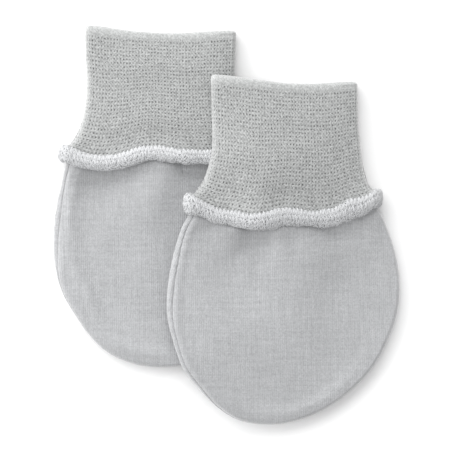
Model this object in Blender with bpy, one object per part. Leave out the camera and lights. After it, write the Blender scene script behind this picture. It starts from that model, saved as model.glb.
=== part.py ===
"""A pair of newborn's mittens laid flat, the over one lying half on the under one.

Each mitten is a jersey bag of two panels, gathered at its neck into a tube of rib knit. The tube is
folded down over the neck to make a cuff of two layers, and a thick overlocked roll binds its free hem.

A mitten is modelled in its own frame: x runs across it, y up from the hem towards the wrist's opening,
and z up from the table. Sizes are in millimetres, and the finished meshes in metres. Every face of the
cloth is a stack of rings of points, worked out from the middle of the cloth and half its thickness.
"""

import math

import bmesh
import bpy
import numpy as np

MM = 0.001

# Cloth
WALL = 1.2  # thickness of a hand panel, and of one layer of the cuff
HALF_WALL = WALL / 2
GAP = 0.3  # left between pieces that are sewn together or lie on each other
LAYER_GAP = 0.6  # between the cuff's outer and inner layer
MOUTH = 0.8  # slit between the cuff's two inner layers

# Middle of the cuff's layers, from the middle of the cuff
INNER_HALF = (MOUTH + WALL) / 2
OUTER_HALF = INNER_HALF + WALL + LAYER_GAP
FOLD_RADIUS = (OUTER_HALF - INNER_HALF) / 2  # of the turn at the cuff's top edge
CUFF_MIDDLE = OUTER_HALF + HALF_WALL  # above the table
CUFF_LENGTH = 43.0

HEM_SAG = 14.0  # of the cuff's back: four times what its hem hangs down at the middle
NECK_UP = 9.0  # the seam between hand and cuff, above the hem
NARROW_ALONG = 0.6  # the cuff's inner layer doesn't flare past this share of its length

# The overlocked roll, as half its thickness
ROLL_FRONT = 1.9
ROLL_PRESSED = 1.2  # on the front, where the over mitten lies on it
PRESSED_FROM = 0.86  # the cuff comes down to the pressed roll past this share of its outer layer
ROLL_SIDE = 1.4
ROLL_BACK = 1.0  # where its own mitten lies on it
BACK_LEVEL = 0.95  # of its centre on the back, so that its underside is pressed flat

GATHERS_START = -2.0  # below the hem, where their troughs begin
GATHERS_GROW = 6.0  # and the distance over which they deepen
GATHERS_FADE_FROM = 2.0
PUFF = 0.4  # the hand's front rises this much from its edge to its centre

# Drape of the over mitten across the under one
LIFT = 2 * CUFF_MIDDLE + GAP  # height at which it lies on the under mitten
HEM_LIFT = 1.8  # more height, where it crosses the under mitten's roll
HEM_SPREAD = 9.0
EDGE_INSIDE = 2.0  # it starts to come down this far inside the under mitten's edge
FALL = 26.0  # and reaches the table over this distance
BRIDGED_BELOW = -12.0  # above this height it bridges the hollow between the under mitten's hand and cuff


def table(columns, *rows):
    """Rows of numbers as one array for each named column."""
    return dict(zip(columns.split(), np.array(rows, float).T))


# Middle of the hand's two panels above the table, by the distance below the hem
HAND_LEVELS = table(
    "down front back",
    (-9.0, CUFF_MIDDLE + INNER_HALF, CUFF_MIDDLE - INNER_HALF),
    (-6.0, 4.4, 2.6),
    (-3.5, 4.7, 3.0),
    (3.5, 4.8, 3.0),
    (8.5, 5.1, 1.4),
    (13.0, 5.2, 0.8),
    (20.0, 5.2, HALF_WALL),
)
HAND_TOP_AT_HEM = 4.8 + HALF_WALL

# Middle of the cuff's outer layer above the table, by the share of the way from its top edge to its hem
CUFF_LEVELS = table(
    "along front back",
    (0.0, CUFF_MIDDLE + OUTER_HALF, HALF_WALL),
    (0.72, CUFF_MIDDLE + OUTER_HALF, HALF_WALL),
    (0.88, 6.5, HALF_WALL),
    (1.0, HAND_TOP_AT_HEM + GAP + ROLL_FRONT, BACK_LEVEL),
)

UNDER = dict(
    name="under",
    at=(-19.7, 24.0),
    hand=table(
        "down left right",
        (-5.0, 29.7, 25.6),
        (-2.3, 31.8, 27.6),
        (0.0, 33.6, 29.4),
        (2.2, 35.2, 32.6),
        (5.0, 36.1, 34.6),
        (10.0, 37.3, 37.0),
        (18.0, 39.0, 39.0),
        (27.0, 39.8, 39.6),
        (36.0, 39.5, 38.7),
        (43.0, 38.2, 36.8),
        (48.0, 36.0, 35.0),
        (54.0, 32.2, 31.9),
        (61.0, 27.5, 26.0),
        (67.0, 21.6, 18.6),
        (71.0, 14.6, 10.5),
    ),
    tip=(3.0, 73.2),
    cuff=table(
        "along left right",
        (0.0, 28.9, 23.0),
        (0.2, 28.7, 23.1),
        (0.4, 28.1, 23.3),
        (0.55, 28.1, 23.7),
        (0.7, 29.0, 24.7),
        (0.8, 30.2, 26.0),
        (0.9, 32.3, 28.2),
        (1.0, 36.8, 31.9),
    ),
    top=table("x up", (-29.0, 44.6), (-18.0, 43.3), (-7.0, 42.3), (4.0, 42.0), (15.0, 42.6), (23.0, 43.0)),
    hem=table(
        "x drop",
        (-35.3, -1.7),
        (-32.4, -0.3),
        (-25.6, 1.4),
        (-20.4, 1.5),
        (-15.3, 0.5),
        (-10.1, -1.2),
        (-5.0, -1.9),
        (0.2, -1.2),
        (7.0, -0.3),
        (19.0, 0.2),
        (25.2, -0.7),
        (30.0, -2.4),
    ),
    seam=table(
        "along angle",
        (0.0, 0.0),
        (0.06, 50.0),
        (0.13, 56.0),
        (0.2, 46.0),
        (0.28, 22.0),
        (0.38, 0.0),
        (0.6, -15.0),
        (0.9, -30.0),
        (1.0, 0.0),
    ),
    gathers=table(
        "x width depth length slant",
        (-24.0, 7.0, 1.2, 7.0, 0.1),
        (11.0, 6.5, 1.4, 9.0, 0.1),
        (24.0, 4.0, 0.7, 6.0, 0.3),
    ),
    roll_half_width=2.0,
    pressed_from=4.0,
    pressed_over=8.0,
)

OVER = dict(
    name="over",
    at=(19.5, 4.4),
    hand=table(
        "down left right",
        (-6.0, 28.8, 28.0),
        (-4.2, 30.0, 29.8),
        (-1.8, 31.1, 32.2),
        (1.0, 32.9, 34.1),
        (4.0, 34.6, 35.3),
        (9.0, 36.4, 37.2),
        (16.0, 38.2, 39.0),
        (25.0, 39.7, 40.0),
        (34.0, 40.0, 39.4),
        (44.0, 37.8, 36.6),
        (53.0, 34.5, 32.3),
        (60.0, 29.3, 26.5),
        (66.0, 23.8, 19.4),
        (70.5, 16.8, 10.8),
    ),
    tip=(-2.7, 72.8),
    cuff=table(
        "along left right",
        (0.0, 25.0, 25.2),
        (0.2, 24.7, 25.3),
        (0.4, 24.5, 25.7),
        (0.55, 24.6, 26.3),
        (0.7, 25.9, 27.0),
        (0.8, 27.4, 28.0),
        (0.9, 30.0, 29.6),
        (1.0, 33.5, 33.0),
    ),
    top=table("x up", (-25.0, 47.7), (-14.0, 46.4), (-7.0, 45.6), (0.0, 44.8), (8.0, 44.6), (25.0, 45.5)),
    hem=table(
        "x drop",
        (-32.1, -3.8),
        (-28.8, -2.2),
        (-23.7, 0.2),
        (-16.8, 1.2),
        (-9.9, 1.9),
        (-4.8, 1.2),
        (0.3, 0.0),
        (5.5, 0.2),
        (12.3, 0.7),
        (17.5, -0.5),
        (22.6, -2.6),
        (27.8, -4.1),
        (31.6, -6.5),
    ),
    seam=table(
        "along angle",
        (0.0, 0.0),
        (0.06, 58.0),
        (0.13, 66.0),
        (0.22, 60.0),
        (0.32, 50.0),
        (0.42, 20.0),
        (0.5, 0.0),
        (0.65, -20.0),
        (0.9, -30.0),
        (1.0, 0.0),
    ),
    gathers=table(
        "x width depth length slant",
        (-12.0, 6.0, 1.2, 9.0, -0.2),
        (12.0, 6.5, 1.3, 6.0, 0.1),
        (29.0, 3.0, 0.8, 5.0, 0.2),
    ),
    roll_half_width=2.25,
    pressed_from=99.0,
    pressed_over=1.0,
)

# Rings of a panel's outer and inner face. First come shares of the arc round the hand's edge, from the
# seam, then distances past that arc, then shares of what is left of the way to the centre.
OUTER_RINGS = dict(arc=(0.0, 0.2, 0.45, 0.72, 1.0), flat=(2.5, 6.0), inward=(0.12, 0.3, 0.55, 0.8))
INNER_RINGS = dict(arc=(0.0, 0.5, 1.0), flat=(2.5, 6.0), inward=(0.12, 0.3, 0.55, 0.8))
NECK_ARC = 4.0  # along the neck, where there is no arc, its rings are spread over this distance
NECK_SPREAD = 1.3  # and the distances past it are longer
STEEPEST_START = 70  # degrees from the hand's edge
SPINE = (-50.0, -18.0)  # the rings close in on this stretch of the centre line
MOST_SLANTED = 0.5
CORNER_SLANT = 0.45

# Rings of the cuff's faces: shares of the outer layer from hem to fold, degrees of the turn at the fold,
# and shares of the inner layer
OUTER_LAYER = (1.0, 0.93, 0.86, 0.8, 0.6, 0.4, 0.2, 0.0)
TURN = (60, 120, 180)
INNER_LAYER = (0.2, 0.4, 0.6, 1.0)

SEAM_POINTS = 38
NECK_POINTS = 9
FLAT_POINTS = 15
ROUND_POINTS = 5
ROLL_POINTS = 8
DRAPE_POINTS = 60  # round the outline that the over mitten drapes across
FINE_STEPS = 12  # of a smooth outline, for each row of its table


def smooth(share):
    """0 below 0, 1 above 1, and an even S between."""
    share = np.clip(share, 0, 1)
    return share * share * (3 - 2 * share)


def through(at, values, x):
    """A smooth curve through the rows (at, values), read at x. It holds its end values outside them."""
    at, values = np.asarray(at, float), np.asarray(values, float)
    slopes = np.gradient(values, at)
    row = np.clip(np.searchsorted(at, x) - 1, 0, len(at) - 2)
    step = at[row + 1] - at[row]
    t = np.clip((x - at[row]) / step, 0, 1)
    start, end = values[row], values[row + 1]
    bend = t * (1 - t) ** 2 * slopes[row] - t * t * (1 - t) * slopes[row + 1]
    return start + (end - start) * smooth(t) + step * bend


def evenly(points, count):
    """count points at even distances along a line of points, both ends included."""
    steps = np.linalg.norm(np.diff(points, axis=0), axis=1)
    along = np.concatenate([[0], np.cumsum(steps)])
    at = np.linspace(0, along[-1], count)
    return np.stack([np.interp(at, along, column) for column in points.T], axis=1)


def distance_outside(x, y, outline):
    """How far each point lies outside a closed outline, less than 0 inside it."""
    way = np.roll(outline, -1, axis=0) - outline
    off = np.stack([x, y], axis=-1)[..., None, :] - outline
    share = np.clip((off * way).sum(-1) / (way * way).sum(-1), 0, 1)
    nearest = np.linalg.norm(off - share[..., None] * way, axis=-1).min(-1)
    crosses = (off[..., 1] >= 0) != (off[..., 1] >= way[:, 1])
    reach = off[..., 1] / np.where(way[:, 1] == 0, 1, way[:, 1]) * way[:, 0]
    inside = (crosses & (off[..., 0] < reach)).sum(-1) % 2 == 1
    return np.where(inside, -nearest, nearest)


# Lines of a mitten


def cuff_half_widths(mitten, along):
    """Distances of the outer layer's left and right middles from the centre line."""
    cuff = mitten["cuff"]
    return [through(cuff["along"], cuff[side], along) - HALF_WALL for side in ("left", "right")]


def hand_outline(mitten):
    """The hand seen from above, from its neck's left corner round the fingers to the right corner."""
    hand = mitten["hand"]
    left_corner, right_corner = [
        half - 2 * FOLD_RADIUS + HALF_WALL for half in cuff_half_widths(mitten, NARROW_ALONG)
    ]
    left = np.stack([-hand["left"], -hand["down"]], axis=1)
    right = np.stack([hand["right"], -hand["down"]], axis=1)[::-1]
    tip = (mitten["tip"][0], -mitten["tip"][1])
    rows = np.vstack([(-left_corner, NECK_UP), left, tip, right, (right_corner, NECK_UP)])
    chords = np.concatenate([[0], np.cumsum(np.linalg.norm(np.diff(rows, axis=0), axis=1))])
    fine = np.linspace(0, chords[-1], FINE_STEPS * len(rows))
    return np.stack([through(chords, rows[:, 0], fine), through(chords, rows[:, 1], fine)], axis=1)


def hem_up(mitten, x, front):
    """How far up the hem line lies. Its back hangs in one plain curve between the same ends."""
    hem = mitten["hem"]
    share = np.clip((x - hem["x"][0]) / (hem["x"][-1] - hem["x"][0]), 0, 1)
    plain = hem["drop"][0] + (hem["drop"][-1] - hem["drop"][0]) * share
    plain = plain + HEM_SAG * share * (1 - share)
    return -np.where(front, through(hem["x"], hem["drop"], x), plain)


def roll_front(mitten, x):
    """Half the roll's thickness on the front, less where the other mitten presses on it."""
    pressed = smooth((x - mitten["pressed_from"]) / mitten["pressed_over"])
    return ROLL_FRONT + (ROLL_PRESSED - ROLL_FRONT) * pressed


def gathered(mitten, x, down):
    """Depth of the soft troughs where the hand is gathered into its neck."""
    depth = np.zeros_like(x)
    rows = mitten["gathers"]
    for i in range(len(rows["x"])):
        across = (x - rows["x"][i] - rows["slant"][i] * down) / rows["width"][i]
        below = np.clip(down - GATHERS_FADE_FROM, 0, None) / rows["length"][i]
        grown = smooth((down - GATHERS_START) / GATHERS_GROW)
        depth += rows["depth"][i] * np.exp(-(across**2) - below**2) * grown
    return depth


def hand_level(mitten, x, y, side):
    """Height of the middle of the front panel (side 1) or the back one (side -1)."""
    back = through(HAND_LEVELS["down"], HAND_LEVELS["back"], hem_up(mitten, x, False) - y)
    if side < 0:
        return back
    down = hem_up(mitten, x, True) - y
    front = through(HAND_LEVELS["down"], HAND_LEVELS["front"], down) - gathered(mitten, x, down)
    return np.maximum(front, back + WALL + GAP)


def drape(x, y):
    """Height of what the over mitten lies on: the under mitten, and beside it the table."""
    hand = evenly(hand_outline(UNDER), DRAPE_POINTS)
    cuff, top = UNDER["cuff"], UNDER["top"]["up"]
    corners = [(cuff["right"][0], top[-1]), (-cuff["left"][0], top[0])]
    bridged = np.vstack([hand[hand[:, 1] < BRIDGED_BELOW], corners]) + UNDER["at"]
    down = smooth((distance_outside(x, y, bridged) + EDGE_INSIDE) / FALL)
    over_hem = HEM_LIFT * np.exp(-(((y - UNDER["at"][1]) / HEM_SPREAD) ** 2))
    return (LIFT + over_hem) * (1 - down)


# Faces of the cloth, as rings of points


def panel_face(mitten, side, off, rows):
    """A face of a hand panel, from its seam to its centre, at the distance off from the cloth's middle."""
    seam = evenly(hand_outline(mitten), SEAM_POINTS)
    neck = np.linspace(seam[-1], seam[0], NECK_POINTS + 2)[1:-1]
    edge = np.vstack([seam, neck])
    sewn = np.arange(len(edge)) < len(seam)
    way = np.roll(edge, -1, axis=0) - np.roll(edge, 1, axis=0)
    inward = np.stack([-way[:, 1], way[:, 0]], axis=1) / np.linalg.norm(way, axis=1)[:, None]
    inward[0], inward[len(seam) - 1], inward[~sewn] = (1, -CORNER_SLANT), (-1, -CORNER_SLANT), (0, -1)
    spine = np.column_stack([np.zeros(len(edge)), np.clip(edge[:, 1], *SPINE)])
    towards = (spine - edge) / np.linalg.norm(spine - edge, axis=1)[:, None]
    towards /= np.maximum((towards * inward).sum(axis=1), MOST_SLANTED)[:, None]
    inward[~sewn] = towards[~sewn]
    front, back = [hand_level(mitten, *edge.T, s) for s in (1, -1)]
    middle, half = (front + back) / 2, np.maximum((front - back) / 2, HALF_WALL + GAP)
    along = np.where(sewn, np.arange(len(edge)) / (len(seam) - 1), 0)
    seam_angle = side * np.radians(through(mitten["seam"]["along"], mitten["seam"]["angle"], along))
    from_seam = np.arcsin(np.minimum(GAP / 2 / (half + off), 1))
    starts = np.minimum(seam_angle + from_seam, math.radians(STEEPEST_START))
    spread = np.where(sewn, 1, NECK_SPREAD)[:, None]
    rings = []
    for share in rows["arc"]:
        turned = starts + share * (math.pi / 2 - starts)
        inset = np.where(sewn, half + HALF_WALL - (half + off) * np.cos(turned), share * NECK_ARC)
        place = edge + inward * inset[:, None]
        height = middle + side * (half + off) * np.sin(turned)
        level = hand_level(mitten, *place.T, side) + side * off
        rings.append(np.column_stack([place, np.where(sewn, height, level)]))
    turned_end = rings[-1]
    bend_over = rows["flat"][-1]
    for distance in rows["flat"]:
        place = turned_end[:, :2] + towards * distance * spread
        level = hand_level(mitten, *place.T, side) + side * off
        bend = smooth(distance / bend_over)
        rings.append(np.column_stack([place, turned_end[:, 2] + (level - turned_end[:, 2]) * bend]))
    last = rings[-1][:, :2]
    for share in rows["inward"] + (1.0,):
        place = last + share * (spine - last) if share < 1 else np.full_like(last, spine.mean(axis=0))
        puff = PUFF * smooth(share) * (side > 0)
        rings.append(np.column_stack([place, hand_level(mitten, *place.T, side) + side * off + puff]))
    return rings


def flat_ring(left, right, half):
    """A flat tube's section from its front's left end: x, z, and 1 on the front down to 0 on the back."""
    share = np.linspace(0, 1, FLAT_POINTS)
    turn = np.linspace(0, math.pi, ROUND_POINTS)[1:-1]
    from_left, from_right = half - left, right - half
    across = from_left + (from_right - from_left) * share
    bulge = half * np.sin(turn)
    x = np.concatenate([across, from_right + bulge, across[::-1], from_left - bulge])
    height = np.concatenate([np.ones(FLAT_POINTS), np.cos(turn), -np.ones(FLAT_POINTS), -np.cos(turn)])
    return x, half * height, (1 + height) / 2


def cuff_face(mitten, off):
    """A face of the folded rib tube: its outer layer from the hem, the turn, and its inner layer."""
    widths = cuff_half_widths(mitten, 0.0)
    x, _, _ = flat_ring(*widths, OUTER_HALF)
    fold_up = through(mitten["top"]["x"], mitten["top"]["up"], x) - FOLD_RADIUS - HALF_WALL
    clear = mitten["roll_half_width"] + GAP
    rings = []
    for share in OUTER_LAYER:
        along = share * (1 - clear / CUFF_LENGTH)
        front = through(CUFF_LEVELS["along"], CUFF_LEVELS["front"], along)
        back = max(through(CUFF_LEVELS["along"], CUFF_LEVELS["back"], along), HALF_WALL)
        widths_here = [half + off for half in cuff_half_widths(mitten, along)]
        x, z, frontness = flat_ring(*widths_here, (front - back) / 2 + off)
        near_hem = smooth((share - PRESSED_FROM) / (1 - PRESSED_FROM))
        pressed = (ROLL_FRONT - roll_front(mitten, x)) * frontness * near_hem
        ends_up = hem_up(mitten, x, frontness > 0.5) + clear
        up = fold_up + (ends_up - fold_up) * share
        rings.append(np.column_stack([x, up, (front + back) / 2 + z - pressed]))
    for turn in np.radians(TURN):
        inward = FOLD_RADIUS - (FOLD_RADIUS + off) * math.cos(turn)
        x, z, _ = flat_ring(*[half - inward for half in widths], OUTER_HALF - inward)
        rings.append(np.column_stack([x, fold_up + (FOLD_RADIUS + off) * math.sin(turn), CUFF_MIDDLE + z]))
    for share in INNER_LAYER:
        inward = 2 * FOLD_RADIUS + off
        along = min(share * (1 - clear / CUFF_LENGTH), NARROW_ALONG)
        widths_here = [half - inward for half in cuff_half_widths(mitten, along)]
        x, z, frontness = flat_ring(*widths_here, INNER_HALF - off)
        ends_up = hem_up(mitten, x, frontness > 0.5) + clear
        y = fold_up + (ends_up - fold_up) * share if share < 1 else np.full_like(x, NECK_UP + GAP)
        rings.append(np.column_stack([x, y, CUFF_MIDDLE + z]))
    return rings


def roll_face(mitten):
    """The overlocked roll, as lines of points along it: thick on the front, and flat where it is lain on."""
    front, back = CUFF_LEVELS["front"][-1], CUFF_LEVELS["back"][-1]
    x, _, frontness = flat_ring(*cuff_half_widths(mitten, 1.0), (front - back) / 2)
    pressed = (ROLL_FRONT - roll_front(mitten, x)) * frontness
    half_height = through([0, 0.5, 1], [ROLL_BACK, ROLL_SIDE, ROLL_FRONT], frontness) - pressed
    z = back + (front - back) * frontness - pressed
    centre = np.column_stack([x, hem_up(mitten, x, frontness > 0.5), z])
    way = np.roll(centre, -1, axis=0) - np.roll(centre, 1, axis=0)
    out = np.column_stack([-way[:, 2], np.zeros(len(way)), way[:, 0]])
    out /= np.linalg.norm(out, axis=1)[:, None]
    lines = []
    for turn in np.linspace(0, 2 * math.pi, ROLL_POINTS, endpoint=False):
        line = centre + out * (half_height * math.sin(turn))[:, None]
        line[:, 1] += mitten["roll_half_width"] * math.cos(turn)
        line[:, 2] = np.maximum(line[:, 2], 0)
        lines.append(line)
    return lines


# Blender objects


def in_place(mitten, points):
    """The points in metres, at the height where their mitten lies."""
    points = points.copy()
    if mitten is OVER:
        points[:, 2] += drape(points[:, 0] + OVER["at"][0], points[:, 1] + OVER["at"][1])
    return points * MM


def add_piece(mitten, name, rings, material, capped=False):
    """A closed mesh over a stack of rings. Its ends meet, or each is a ring that lies in one place."""
    rings = [in_place(mitten, ring) for ring in rings]
    poles = [rings.pop(0)[0], rings.pop()[0]] if capped else []
    shape = bmesh.new()
    loops = [[shape.verts.new(point) for point in ring] for ring in rings]
    following = loops[1:] if capped else loops[1:] + loops[:1]
    for near, far in zip(loops, following):
        for i in range(len(near)):
            shape.faces.new((near[i - 1], near[i], far[i], far[i - 1]))
    for loop, pole in zip((loops[0], loops[-1]), poles):
        tip = shape.verts.new(pole)
        for i in range(len(loop)):
            shape.faces.new((loop[i - 1], loop[i], tip))
    bmesh.ops.recalc_face_normals(shape, faces=shape.faces)
    mesh = bpy.data.meshes.new(name)
    shape.to_mesh(mesh)
    shape.free()
    mesh.shade_smooth()
    mesh.materials.append(material)
    piece = bpy.data.objects.new(f"{mitten['name']}_{name}", mesh)
    bpy.context.scene.collection.objects.link(piece)
    return piece


def add_mitten(mitten, jersey, rib, thread):
    place = bpy.data.objects.new(f"{mitten['name']}_mitten", None)
    bpy.context.scene.collection.objects.link(place)
    place.location = (mitten["at"][0] * MM, mitten["at"][1] * MM, 0)
    pieces = []
    for name, side in (("hand_front", 1), ("hand_back", -1)):
        outer = panel_face(mitten, side, HALF_WALL, OUTER_RINGS)
        inner = panel_face(mitten, side, -HALF_WALL, INNER_RINGS)
        pieces.append(add_piece(mitten, name, outer[::-1] + inner, jersey, capped=True))
    folded = cuff_face(mitten, HALF_WALL) + cuff_face(mitten, -HALF_WALL)[::-1]
    pieces.append(add_piece(mitten, "cuff", folded, rib))
    pieces.append(add_piece(mitten, "hem_roll", roll_face(mitten), thread))
    for piece in pieces:
        piece.parent = place


def cloth_material(name, colour, roughness):
    material = bpy.data.materials.new(name)
    material.use_nodes = True
    shader = material.node_tree.nodes["Principled BSDF"]
    shader.inputs["Base Color"].default_value = (*colour, 1)
    shader.inputs["Roughness"].default_value = roughness
    shader.inputs["Metallic"].default_value = 0
    return material


def main():
    for old in list(bpy.data.objects):
        bpy.data.objects.remove(old)
    jersey = cloth_material("jersey", (0.51, 0.52, 0.53), 0.9)
    rib = cloth_material("rib_knit", (0.47, 0.48, 0.48), 0.95)
    thread = cloth_material("hem_thread", (0.68, 0.69, 0.7), 0.9)
    for mitten in (UNDER, OVER):
        add_mitten(mitten, jersey, rib, thread)


main()
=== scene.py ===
# A pair of newborn's mittens laid flat on a pale floor, the over one half on the under one.
# Each mitten is worked out in its own frame, in millimetres: x across it, y up from its hem towards the
# wrist, and z up from the floor. A piece's last step puts it in the pair's frame, in metres.

import math
from functools import partial
from types import SimpleNamespace

import bpy
import numpy as np
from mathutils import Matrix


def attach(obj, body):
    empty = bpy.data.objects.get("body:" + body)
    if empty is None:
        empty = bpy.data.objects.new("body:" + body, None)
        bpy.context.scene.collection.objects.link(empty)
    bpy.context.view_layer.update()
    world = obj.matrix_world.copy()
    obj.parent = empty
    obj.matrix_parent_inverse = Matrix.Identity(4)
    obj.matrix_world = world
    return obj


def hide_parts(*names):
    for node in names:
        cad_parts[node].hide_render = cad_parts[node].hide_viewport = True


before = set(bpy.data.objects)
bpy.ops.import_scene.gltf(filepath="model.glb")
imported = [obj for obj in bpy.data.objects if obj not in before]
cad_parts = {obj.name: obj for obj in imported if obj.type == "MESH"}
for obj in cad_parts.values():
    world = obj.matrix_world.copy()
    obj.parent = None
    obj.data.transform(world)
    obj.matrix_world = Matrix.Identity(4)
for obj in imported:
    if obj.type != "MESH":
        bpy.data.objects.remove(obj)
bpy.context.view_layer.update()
print("frame loaded:", ", ".join(sorted(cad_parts)))


def table(columns, *rows):  # one array for each named column
    return dict(zip(columns.split(), np.array(rows, float).T))


# sizes that all the pieces share

cloth = SimpleNamespace(
    wall=1.2,  # thickness of a panel, and of a layer of the cuff
    gap=0.3,  # between pieces that are sewn together
    layerGap=0.6,  # between the cuff's two layers
    mouth=0.8,  # slit between the cuff's inner layers
    cuffLength=43.0,
    neckUp=9.0,  # the seam between hand and cuff, above the hem
    narrowAlong=0.6,  # its inner layer is as wide as the outer one is here
    hemSag=14.0,  # of the cuff's back: four times its hem's drop in the middle
    gathers=(-2.0, 6.0, 2.0),  # their start below the hem, what they deepen over, and where they fade
    outlineSteps=12,  # for each row of a hand's table
    outlinePoints=120,
)
halfWall = cloth.wall / 2
innerHalf = (cloth.mouth + cloth.wall) / 2  # middle of the inner layer, from the cuff's middle
outerHalf = innerHalf + cloth.wall + cloth.layerGap
foldRadius = (outerHalf - innerHalf) / 2
cuffMiddle = outerHalf + halfWall  # above the floor

handLevels = table(  # middles of the hand's panels above the floor, by the distance below the hem
    "down front back",
    (-9, cuffMiddle + innerHalf, cuffMiddle - innerHalf), (-6, 4.4, 2.6), (-3.5, 4.7, 3), (0, 4.8, 2.9),
    (3, 6.6, 2.7), (4.2, 6.4, 2.2), (5.6, 5.8, 1.6), (7.5, 5, 1.1), (10, 4.55, 0.8), (13, 4.4, 0.7),
    (20, 4.3, halfWall), (30, 4.4, halfWall), (42, 4.6, halfWall), (56, 4.75, halfWall),
    (72, 5.4, halfWall),
)
rollSizes = SimpleNamespace(  # half thicknesses
    front=1.9,
    side=1.4,
    back=1.0,
    backLevel=0.95,  # height of its centre on the back
    below=0.6,  # its centre, below the hem line
    flatTop=0.7,  # under 1, flatter than an ellipse
)
handTopAtHem = 4.8 + halfWall
cuffLevels = table(  # middle of its outer layer above the floor, by the share from fold to hem
    "along front back",
    (0, cuffMiddle + outerHalf, halfWall),
    (0.72, cuffMiddle + outerHalf, halfWall),
    (0.88, 6.5, halfWall),
    (1, handTopAtHem + cloth.gap + rollSizes.front, rollSizes.backLevel),
)

under = SimpleNamespace(
    name="under",
    at=(-19.7, 24.0),
    hand=table(
        "down left right",
        (-5, 29.7, 25.6), (-2.3, 31.8, 27.6), (0, 33.6, 29.4), (2.2, 35.2, 32.6), (5, 36.1, 34.6),
        (10, 37.3, 37), (18, 39, 39), (27, 39.8, 39.6), (36, 39.5, 38.7), (43, 38.2, 36.8),
        (48, 36.3, 35), (54, 32.7, 31.9), (61, 28, 25.6), (67, 21.8, 17.2), (71, 13.4, 8.4),
    ),
    tip=(2.2, 72.2),
    cuff=table(
        "along left right",
        (0, 29.1, 23), (0.2, 28.9, 22.6), (0.4, 28.4, 22.6), (0.55, 28.7, 23.2), (0.7, 29.8, 24.5),
        (0.8, 31.2, 26.1), (0.9, 33.4, 28.2), (1, 36.8, 31.9),
    ),
    top=table("x up", (-29, 45.4), (-18, 43.8), (-7, 42.8), (4, 42.5), (15, 43.1), (23, 43.5)),
    hem=table(
        "x drop",
        (-35.3, -1.7), (-32.4, -0.3), (-25.6, 1.4), (-20.4, 1.5), (-15.3, 0.5), (-10.1, -1.2),
        (-5, -1.9), (0.2, -1.2), (7, -0.5), (13, -0.5), (19, -0.2), (25.2, -0.7), (30, -2.4),
    ),
    seam=table(
        "along angle",
        (0, 0), (0.06, 50), (0.13, 56), (0.2, 46), (0.28, 22), (0.38, 0), (0.6, -15), (0.9, -30),
        (1, 0),
    ),
    gathers=table(
        "x width depth length slant",
        (-24, 7, 1.2, 7, 0.1), (11, 6.5, 1.4, 9, 0.1), (24, 4, 0.7, 6, 0.3),
    ),
    creases=table(  # soft folds of the front: middle, direction, half length and half width
        "x y angle length width height",
        (-22.5, -12, 0, 9.5, 6.5, -1.2),
        (-24, -8.5, 4, 8.5, 3.5, -0.4),
        (-13.6, -6.6, 25, 7, 3, -0.8),
        (-3.4, -9, 64, 12, 6.5, 1.5),
        (11.5, -3.8, -8, 8.5, 3.2, -3.9),
        (6, -34, 88, 26, 11, -2),
        (-33, -26, 91, 20, 3, 0.6),
        (-20, -22, 62, 16, 4, 0.22),
        (-14, -40, 97, 16, 5.5, -0.16),
        (-25, -50, -40, 9, 3.5, -0.14),
    ),
    ridge=table(  # the seam allowance under the cloth, by its direction from the middle
        "angle height inset",
        (105, 0, 5), (130, 0.3, 5), (150, 0.6, 4.8), (170, 0.3, 5.4), (186, 0.2, 6.8),
        (194, 0.8, 7.8), (205, 1, 8), (214, 0.6, 7.4), (223, 0.2, 6), (234, 0.5, 5), (246, 1, 4.6),
        (260, 0.8, 4.4), (276, 0.2, 4.4), (300, 0.15, 4.4), (380, 0.15, 4), (420, 0, 4),
    ),
    rollEnds=(0.3, 0.12),  # how much thicker it is at its left and right ends
    rollHalfWidth=2.25,
    rollWider=table("x reach more", (-14, 6, 0.4), (-28, 4, 0.25)),  # where its front is wider
    threadPaintedShade=1.0,  # its thread colour is scaled by this, as painted shade; none here
    seamRoll=(0.12, 0.4),  # how far the cloth stands out beside the seam, along the side and at the neck
    wideRim=0.75,  # share by which its left rim is wider than a half circle
    pressed=(4.0, 8.0, 1.2),  # the roll is flatter from here, over this distance, down to this half
    hemLift=(0.0, 1.0, 0.0),  # where the hem stands off the hand: middle, half width, height
    seed=3,
)

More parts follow.
